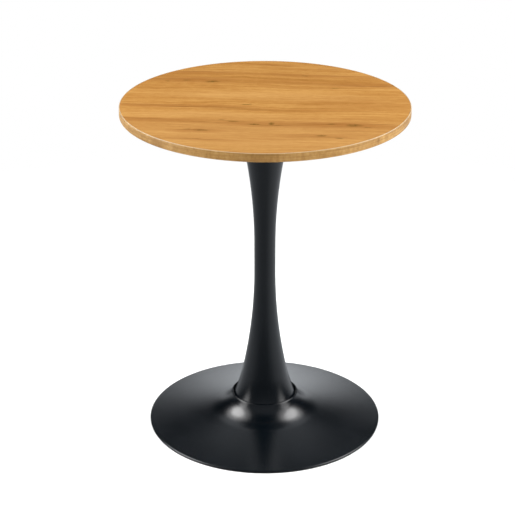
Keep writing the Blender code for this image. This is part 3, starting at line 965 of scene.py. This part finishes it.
def make_world():
    """Plain white light and background, and a studio that only reflections show.

    In reflections a white backdrop stands low behind the table, and it is dark overhead and in front.
    x, y and z are the parts of a ray's direction.
    """
    world = bpy.data.worlds.new("studio")
    bpy.context.scene.world = world
    world.use_nodes = True
    world.node_tree.nodes.clear()
    sky = Graph(world.node_tree)
    direction = sky.add("ShaderNodeTexCoord", output="Generated")
    x, y, z = sky.add("ShaderNodeSeparateXYZ", {0: direction}).node.outputs
    aside = sky.maths("ABSOLUTE", x)
    square = sky.maths("POWER", aside, 2.0)

    # The backdrop narrows upwards, is a little brighter in its middle and to the right, and ends at a height
    narrowing = sky.remap(z, 0.0, 0.45, -5.0, -38.0)
    centre = sky.product(sky.maths("EXPONENT", sky.product(square, -250.0)), 0.15)
    spread = sky.total(sky.maths("EXPONENT", sky.product(square, narrowing)), centre)
    level = sky.product(sky.remap(z, 0.0, 0.21, 0.98, 2.0), sky.remap(z, 0.32, 0.46, 1.0, 0.0))
    backdrop = sky.product(spread, level, sky.remap(x, -0.15, 0.15, 0.92, 1.16))

    # A glow above it, behind the table, and a faint haze in front
    glow = sky.product(
        sky.remap(z, 0.56, 0.76, 0.0, 1.2, smooth=True),
        sky.remap(aside, 0.0, 0.35, 0.30, 1.0),
    )
    haze = sky.product(
        sky.remap(y, -0.8, -0.1, 0.30, 0.0, smooth=True),
        sky.remap(z, 0.65, 0.90, 1.0, 0.0, smooth=True),
        sky.remap(z, 0.15, 0.38, 0.35, 1.0, smooth=True),
    )
    behind = sky.remap(y, 0.1, 0.4, smooth=True)
    above = sky.total(sky.product(sky.total(backdrop, glow), behind), haze)

    # The ground gets paler to the back and the right, and darker at the horizon in front
    ground = sky.total(
        sky.remap(y, -0.95, 0.30, 0.36, 0.54, smooth=True),
        sky.remap(x, 0.1, 0.9, 0.0, 0.32, smooth=True),
    )
    dip = sky.product(
        sky.remap(z, -0.30, -0.08, 0.0, 0.22, smooth=True),
        sky.remap(y, -0.95, -0.50, 1.0, 0.0, smooth=True),
    )
    ground = sky.maths("SUBTRACT", ground, dip)
    surround = sky.add("ShaderNodeMix", {0: sky.remap(z, -0.14, 0.02, smooth=True), 2: ground, 3: above})

    white = (1.0, 1.0, 1.0, 1.0)
    reflected = sky.add("ShaderNodeBackground", {"Color": (*REFLECTION_TINT, 1.0), "Strength": surround})
    ambient = sky.add("ShaderNodeBackground", {"Color": white, "Strength": AMBIENT_LIGHT})
    background = sky.add("ShaderNodeBackground", {"Color": white, "Strength": 1.0})
    rays = sky.add("ShaderNodeLightPath").node.outputs
    lighting = sky.add("ShaderNodeMixShader", {0: rays["Is Diffuse Ray"], 1: reflected, 2: ambient})
    shown = sky.add("ShaderNodeMixShader", {0: rays["Is Camera Ray"], 1: lighting, 2: background})
    output = world.node_tree.nodes.new("ShaderNodeOutputWorld")
    world.node_tree.links.new(shown, output.inputs["Surface"])


def make_camera():
    """The camera at the photo's angle."""
    camera = bpy.data.objects.new("camera", bpy.data.cameras.new("camera"))
    camera.data.lens = CAMERA_LENS
    camera.data.sensor_width = CAMERA_SENSOR
    back = Vector((0, -math.cos(CAMERA_PITCH), math.sin(CAMERA_PITCH)))
    camera.location = CAMERA_AIM + back * CAMERA_DISTANCE
    camera.rotation_euler = (math.pi / 2 - CAMERA_PITCH, 0, 0)
    bpy.context.scene.collection.objects.link(camera)
    bpy.context.scene.camera = camera


# --- The table --------------------------------------------------------------------------------


def finish_node(node, material):
    """Gives a CAD node that stays a detailed material."""
    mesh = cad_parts[node].data
    mesh.materials.clear()
    mesh.materials.append(material)


def make_table():
    column_coat = powder_coat("powder_coat_column", 0.21, 0.08)
    foot_coat = powder_coat("powder_coat_foot", 0.21)
    plate_coat = powder_coat("powder_coat_plate", 0.42)
    bright = zinc("zinc_fastener", 0.28)
    sheet_zinc = zinc("zinc_sheet", 0.40)
    make_top_surface(wood_laminate())
    make_edge_strip(wood_edge())
    make_mounting_plate(plate_coat)
    make_weld(make_column(column_coat), plate_coat)
    make_foot(foot_coat)
    make_ring(rubber())
    make_stiffener(sheet_zinc)
    make_board_screws(bright)
    for index in range(1, BOLT_COUNT + 1):
        make_flat_washer(index, bright)
        make_spring_washer(index, bright)
        make_socket_bolt(index, bright)
        finish_node(f"weld_nut_{index}", bright)
    finish_node("column_joint_plate", sheet_zinc)
    finish_node("tabletop_core", fibreboard())
    finish_node("underside_laminate", backing_laminate())


def make_studio():
    make_floor()
    make_world()
    for row in SOFTBOXES:
        make_softbox(*row)
    make_camera()
    bpy.context.scene.view_settings.view_transform = "Standard"


make_table()
make_studio()
